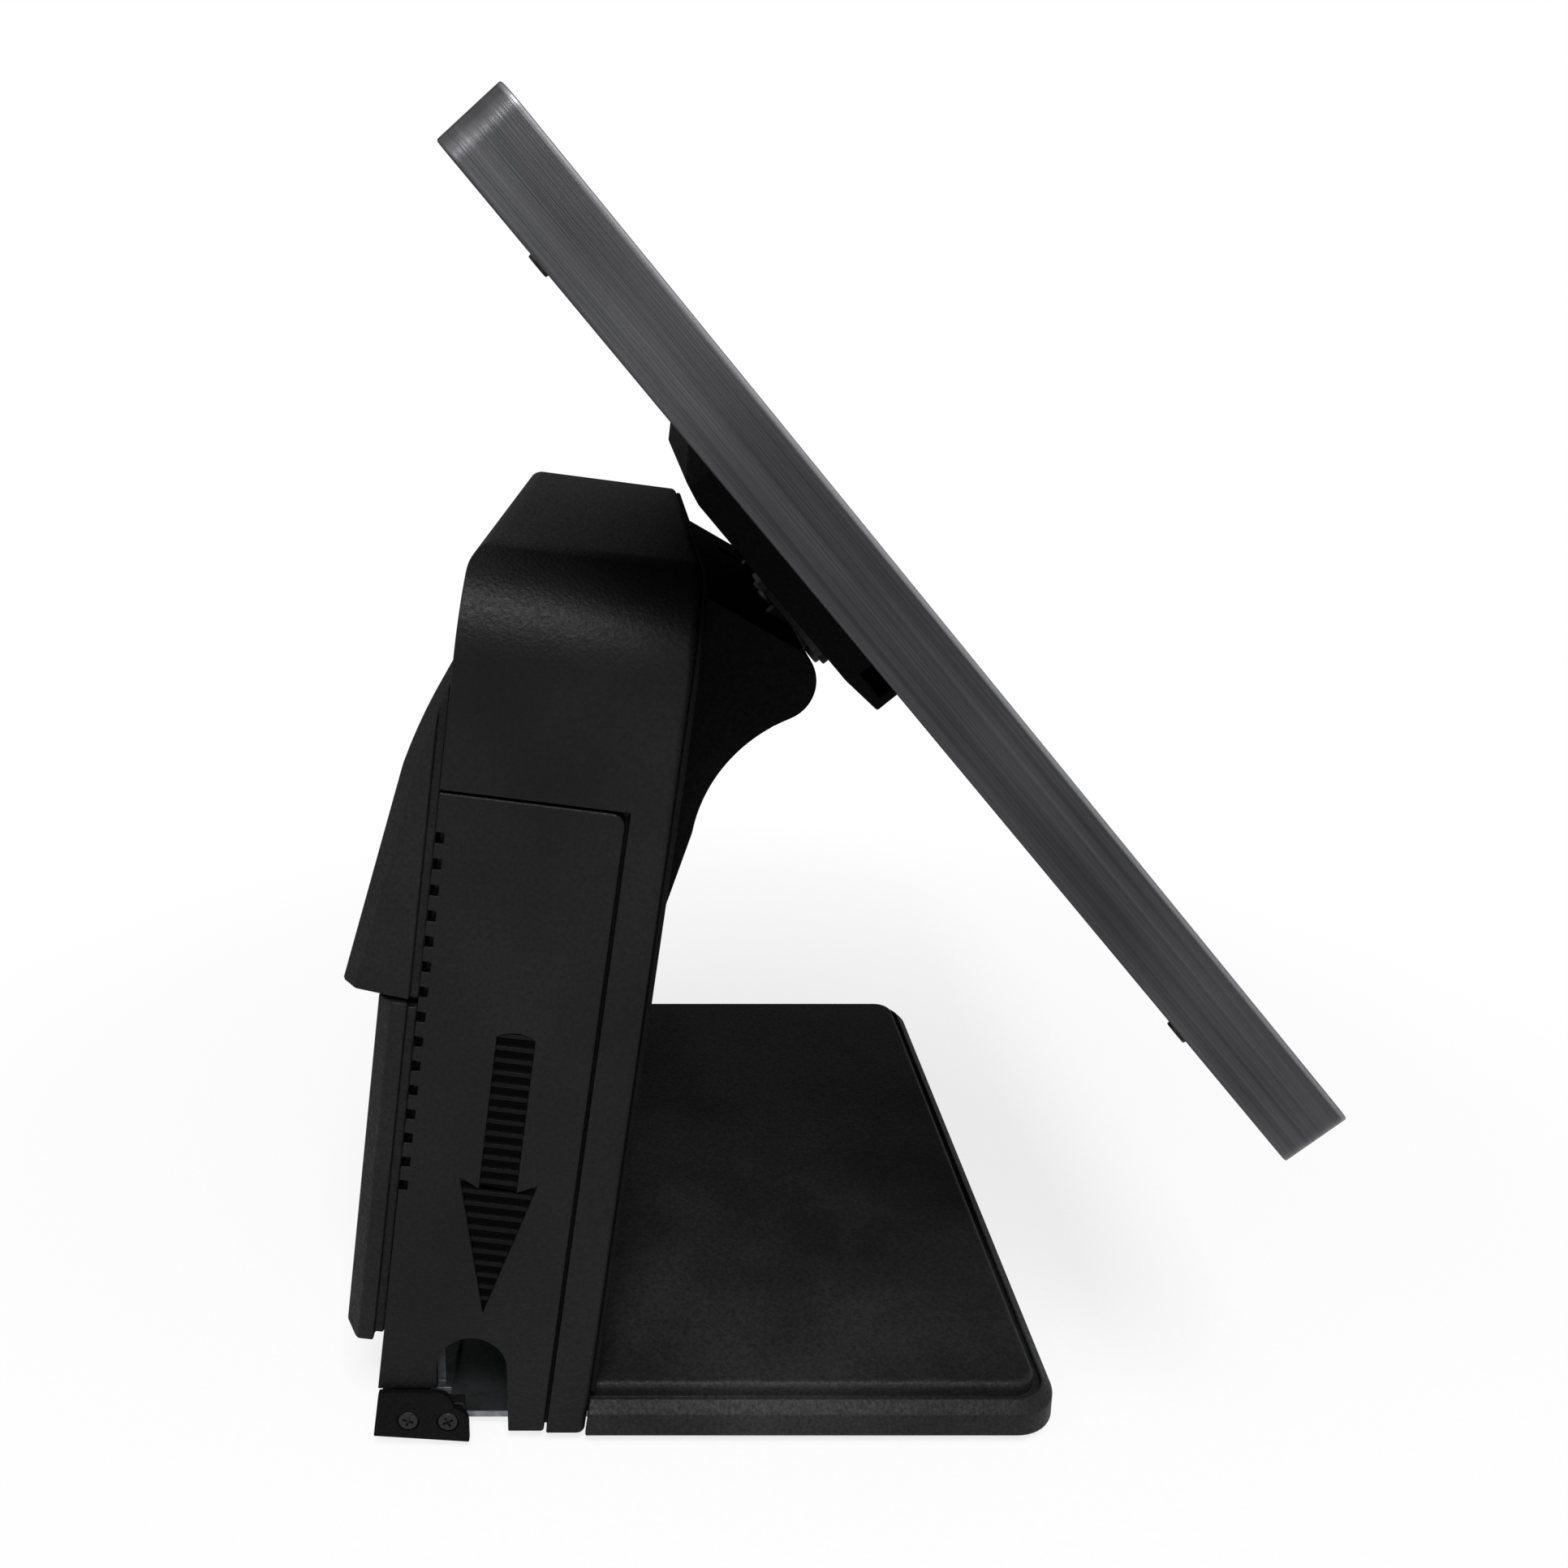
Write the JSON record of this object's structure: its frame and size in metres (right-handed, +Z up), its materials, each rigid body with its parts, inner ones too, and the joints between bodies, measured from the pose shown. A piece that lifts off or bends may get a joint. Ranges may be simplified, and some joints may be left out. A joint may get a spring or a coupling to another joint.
{
  "type": "pos touchscreen terminal",
  "caption": "Countertop checkout terminal: slim tilting touch monitor on a leaning computer tower with sliding side doors, rear customer display and a flat weighted base.",
  "frame": {"origin": "bottom centre of the whole terminal's box, on the surface it stands on", "axes": "+Z up, the screen faces -Y, +X to the right seen from the front"},
  "size_m": [0.36, 0.247, 0.3607],
  "materials": {
    "brushed_aluminium": "dark anodised, brushed along the edge",
    "screen_glass": "black printed border, gloss",
    "lcd_module": "matt film",
    "zinc_steel": "zinc plated",
    "blackened_steel": "satin black",
    "grained_abs": "fine moulded grain",
    "circuit_board": "solder mask",
    "smoked_acrylic": "smoked, gloss",
    "display_module": "dark glass",
    "port_metal": "nickel plated",
    "moulded_black": "semi-gloss",
    "drawn_aluminium": "extruded",
    "lamp_lens": "clear",
    "foot_rubber": "matt"
  },
  "bodies": {
    "stand": {"tilt_shaft": "zinc_steel", "hinge_support_right": "zinc_steel", "hinge_support_left": "zinc_steel", "friction_washers": "zinc_steel", "hinge_nuts": "zinc_steel", "tower_cover": "grained_abs", "corner_plate_right": "grained_abs", "corner_plate_left": "grained_abs", "corner_screws": "blackened_steel", "front_cover": "grained_abs", "neck_cover": "grained_abs", "rear_panel": "grained_abs", "display_hood": "grained_abs", "display_window": "smoked_acrylic", "customer_display": "display_module", "display_board": "circuit_board", "chassis": "zinc_steel", "bay_sheet": "zinc_steel", "motherboard": "circuit_board", "standoffs": "zinc_steel", "board_screws": "zinc_steel", "usb_ports": "port_metal", "lan_port": "port_metal", "serial_ports": "port_metal", "drawer_port": "moulded_black", "dc_inlet": "moulded_black", "heatsink": "drawn_aluminium", "fan_frame": "moulded_black", "memory_socket": "moulded_black", "memory_module": "circuit_board", "ssd_bracket": "zinc_steel", "ssd_drive": "drawn_aluminium", "speaker": "moulded_black", "cable_hooks": "zinc_steel", "base_cover": "grained_abs", "base_plate": "zinc_steel", "rubber_feet": "foot_rubber", "base_screws": "zinc_steel", "chassis_screws": "zinc_steel"},
    "monitor": {"monitor_frame": "brushed_aluminium", "touch_glass": "screen_glass", "lcd_panel": "lcd_module", "lcd_bracket": "zinc_steel", "monitor_rear_cover": "grained_abs", "touch_controller_board": "circuit_board", "lcd_driver_board": "circuit_board", "monitor_screws": "blackened_steel", "tilt_housing": "grained_abs", "tilt_plate": "zinc_steel", "tilt_arm_right": "blackened_steel", "tilt_arm_left": "blackened_steel", "tilt_arm_screws": "blackened_steel", "button_board": "circuit_board", "power_lamp": "lamp_lens"},
    "door_right": {"side_door_right": "grained_abs"},
    "door_left": {"side_door_left": "grained_abs"},
    "rear_cover": {"rear_cover": "grained_abs"},
    "power_button": {"power_button": "moulded_black"},
    "fan_rotor": {"fan_rotor": "moulded_black"}
  },
  "joints": [
    {"name": "monitor_tilt", "type": "hinge", "parent": "stand", "child": "monitor", "pos_m": [0, 0.00205, 0.2196], "axis": [1, 0, 0], "range_deg": [-10, 40]},
    {"name": "door_right_slide", "type": "slide", "parent": "stand", "child": "door_right", "axis": [0, 0.1288, -0.9917], "range_m": [0, 0.004]},
    {"name": "door_left_slide", "type": "slide", "parent": "stand", "child": "door_left", "axis": [0, 0.1288, -0.9917], "range_m": [0, 0.004]},
    {"name": "rear_cover_pull", "type": "slide", "parent": "stand", "child": "rear_cover", "axis": [0, 0.9917, 0.1288], "range_m": [0, 0.03]},
    {"name": "power_button_press", "type": "slide", "parent": "monitor", "child": "power_button", "axis": [0, 0.6481, 0.7615], "range_m": [0, 0.0012], "stiffness_N_per_m": 600, "springref_m": -0.0008},
    {"name": "fan_spin", "type": "hinge", "parent": "stand", "child": "fan_rotor", "pos_m": [-0.04, 0.06917, 0.15703], "axis": [0, 0.9917, 0.1288], "continuous": true}
  ]
}
